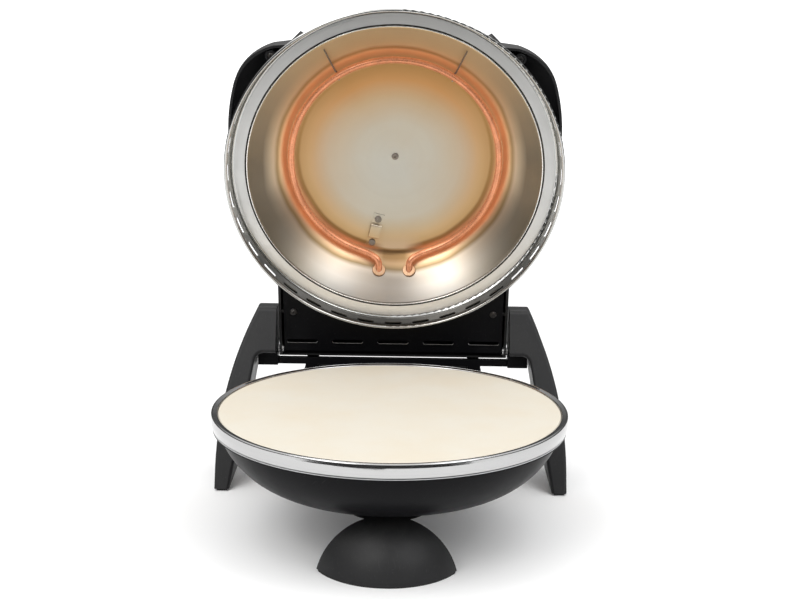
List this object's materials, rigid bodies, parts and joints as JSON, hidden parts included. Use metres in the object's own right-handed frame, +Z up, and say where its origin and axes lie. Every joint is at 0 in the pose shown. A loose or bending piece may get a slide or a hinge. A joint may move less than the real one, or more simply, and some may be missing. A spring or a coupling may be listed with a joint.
{
  "type": "electric pizza maker",
  "caption": "Countertop pizza oven with a round baking stone in a shallow black pan on a bell foot and two swept rear legs, and a hinged domed lid with a heating ring, shown open.",
  "frame": {"origin": "on the table, in the plane of the foot and leg pads, under the centre of the baking stone", "axes": "X to the right seen from the front, Y to the back where the lid is hinged, Z up"},
  "size_m": [0.352, 0.4133, 0.4741],
  "materials": {
    "stone": "fired cordierite, fine matt grain",
    "polished_steel": "polished pressed steel",
    "dish_steel": "bright spun steel, warm from heat",
    "brushed_sheet": "brushed sheet steel",
    "galvanised_steel": "dull plated sheet steel",
    "black_enamel": "satin black stoved enamel",
    "black_plastic": "fine matt moulded black",
    "knob_plastic": "satin black moulded",
    "dial_metal": "fine brushed disc",
    "element_tube": "heat-darkened steel tube",
    "clip_steel": "spring steel, heat-dulled",
    "ceramic": "unglazed insulator",
    "cast_metal": "sand-cast, as cast",
    "rubber": "soft black rubber",
    "screw_steel": "zinc-plated steel",
    "blacked_steel": "blackened screw steel",
    "lead_sleeve": "silicone-sleeved lead",
    "lamp_lens": "clear red lens"
  },
  "bodies": {
    "base": {"trim_ring": "polished_steel", "reflector_pan": "galvanised_steel", "base_bowl": "black_enamel", "lower_heating_element": "element_tube", "lower_element_terminals": "screw_steel", "lower_element_saddles": "clip_steel", "lower_element_bushings": "ceramic", "front_foot": "black_plastic", "front_foot_pad": "rubber", "front_foot_screws": "screw_steel", "right_leg_front": "black_plastic", "left_leg_front": "black_plastic", "right_leg_cover": "black_plastic", "left_leg_cover": "black_plastic", "leg_pads": "rubber", "leg_screws": "screw_steel", "hinge_yoke": "black_enamel", "hinge_pins": "screw_steel", "stand_bracket": "black_enamel", "bracket_screws": "screw_steel", "lid_stop_pads": "rubber", "connection_box": "black_plastic", "connection_box_cover": "black_plastic", "connection_box_screws": "screw_steel", "cord_gland": "rubber", "terminal_block": "ceramic", "supply_leads": "lead_sleeve"},
    "lid": {"lid_rim_skirt": "polished_steel", "lid_flange_ring": "brushed_sheet", "lid_inner_dish": "dish_steel", "lid_dome": "black_enamel", "upper_heating_element": "element_tube", "upper_element_terminals": "screw_steel", "upper_element_bushings": "clip_steel", "upper_element_clips": "clip_steel", "dish_centre_screw": "screw_steel", "dish_post": "screw_steel", "heat_sensor": "ceramic", "sensor_bracket": "galvanised_steel", "sensor_bracket_screws": "screw_steel", "lid_leads": "lead_sleeve", "hinge_housing": "black_plastic", "hinge_cover_plate": "black_enamel", "cover_plate_screws": "blacked_steel", "hinge_bushes": "cast_metal", "handle_bow": "black_plastic", "handle_screws": "blacked_steel", "dial_plates": "dial_metal", "thermostat_body": "galvanised_steel", "timer_body": "black_plastic", "timer_bell": "screw_steel", "pilot_lamp": "lamp_lens"},
    "stone": {"pizza_stone": "stone"},
    "thermostat_control": {"thermostat_knob": "knob_plastic"},
    "timer_control": {"timer_knob": "knob_plastic"}
  },
  "joints": [
    {"name": "lid_hinge", "type": "hinge", "parent": "base", "child": "lid", "pos_m": [0, 0.196, 0.125], "axis": [1, 0, 0], "range_deg": [0, 76]},
    {"name": "stone_lift", "type": "slide", "parent": "base", "child": "stone", "axis": [0, 0, 1], "range_m": [0, 0.01]},
    {"name": "thermostat_knob_turn", "type": "hinge", "parent": "lid", "child": "thermostat_control", "pos_m": [-0.055, 0.23192, 0.15869], "axis": [0, 0.9703, 0.2419], "range_deg": [0, 270]},
    {"name": "timer_knob_turn", "type": "hinge", "parent": "lid", "child": "timer_control", "pos_m": [0.055, 0.23192, 0.15869], "axis": [0, 0.9703, 0.2419], "range_deg": [0, 300]}
  ]
}
